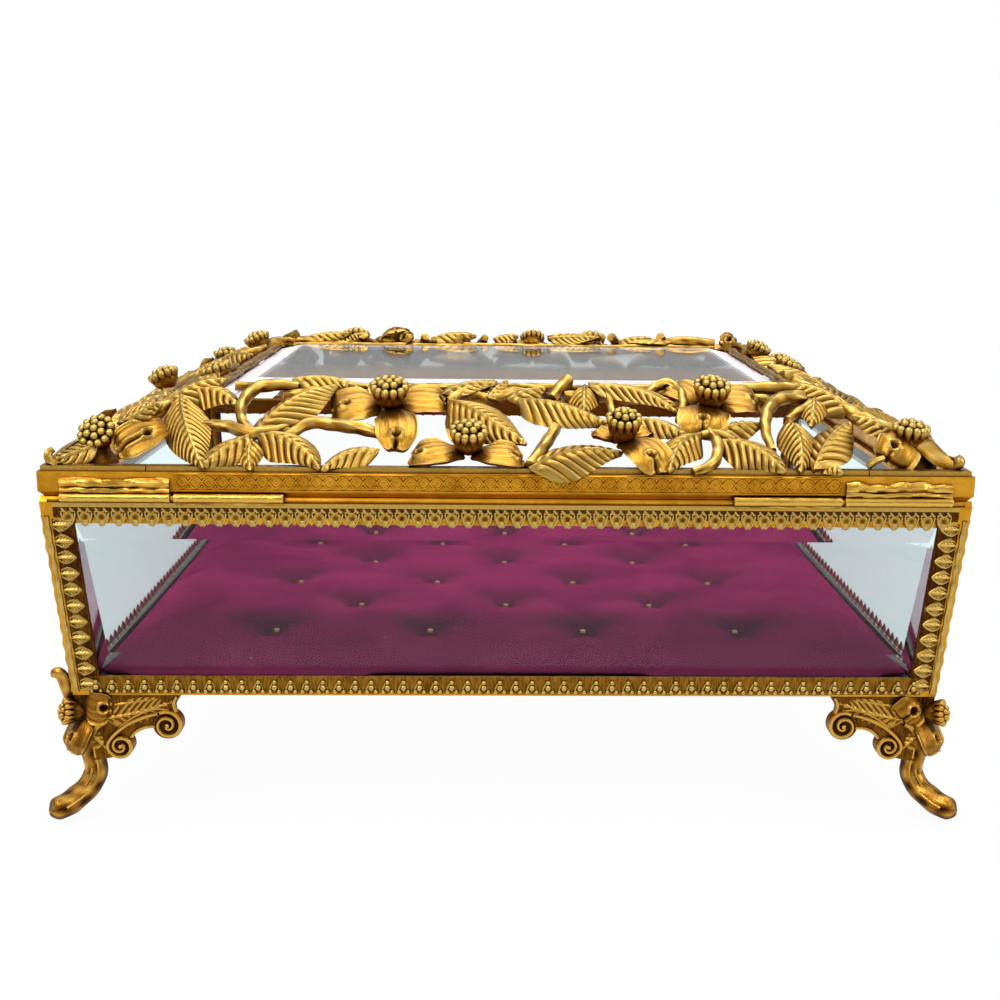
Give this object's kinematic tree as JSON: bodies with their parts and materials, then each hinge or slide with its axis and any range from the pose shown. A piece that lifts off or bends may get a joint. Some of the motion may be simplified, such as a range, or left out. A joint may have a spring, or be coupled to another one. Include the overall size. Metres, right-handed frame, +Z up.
{
  "type": "glass casket box",
  "caption": "Footed keepsake box with bevelled glass walls in a gilt frame, a tufted velvet cushion inside and a hinged lid of cast leaves round a bevelled glass.",
  "frame": {"origin": "on the surface it stands on, at the centre of the box's footprint", "axes": "+Z up, +X to the right along the hinge axis, +Y from the hinged back to the front"},
  "size_m": [0.26, 0.2082, 0.1261],
  "materials": {
    "gilt_brass": "cast and stamped brass, gilded, satin with darker recesses",
    "plain_brass": "plain brass, slightly tarnished",
    "clear_glass": "clear bevelled plate glass, polished",
    "velvet": "short-pile velvet, deep magenta",
    "stitch_thread": "twisted thread knots",
    "card": "grey-brown pressed card"
  },
  "bodies": {
    "base": {"bottom_plate": "plain_brass", "bottom_rail_back": "gilt_brass", "bottom_rail_front": "gilt_brass", "bottom_rail_left": "gilt_brass", "bottom_rail_right": "gilt_brass", "corner_post_back_left": "gilt_brass", "corner_post_back_right": "gilt_brass", "corner_post_front_left": "gilt_brass", "corner_post_front_right": "gilt_brass", "top_rail_back": "gilt_brass", "top_rail_front": "gilt_brass", "top_rail_left": "gilt_brass", "top_rail_right": "gilt_brass", "gallery_back": "gilt_brass", "gallery_front": "gilt_brass", "gallery_left": "gilt_brass", "gallery_right": "gilt_brass", "glass_back": "clear_glass", "glass_front": "clear_glass", "glass_left": "clear_glass", "glass_right": "clear_glass", "cushion_board": "card", "velvet_cushion": "velvet", "tuft_stitches": "stitch_thread", "foot_back_left": "gilt_brass", "foot_back_right": "gilt_brass", "foot_front_left": "gilt_brass", "foot_front_right": "gilt_brass", "hinge_tube_base_left": "gilt_brass", "hinge_tube_base_right": "gilt_brass", "hinge_pin_left": "plain_brass", "hinge_pin_right": "plain_brass"},
    "lid": {"lid_rim_back": "gilt_brass", "lid_rim_front": "gilt_brass", "lid_rim_left": "gilt_brass", "lid_rim_right": "gilt_brass", "hinge_tube_lid_left": "gilt_brass", "hinge_tube_lid_right": "gilt_brass", "filigree_back": "gilt_brass", "filigree_front": "gilt_brass", "filigree_left": "gilt_brass", "filigree_right": "gilt_brass", "corner_flower_back_left": "gilt_brass", "corner_flower_back_right": "gilt_brass", "corner_flower_front_left": "gilt_brass", "corner_flower_front_right": "gilt_brass", "lid_glass": "clear_glass", "glass_tabs": "plain_brass"}
  },
  "joints": [
    {"name": "lid_hinge", "type": "hinge", "parent": "base", "child": "lid", "pos_m": [0, -0.1016, 0.094], "axis": [1, 0, 0], "range_deg": [0, 105]}
  ]
}
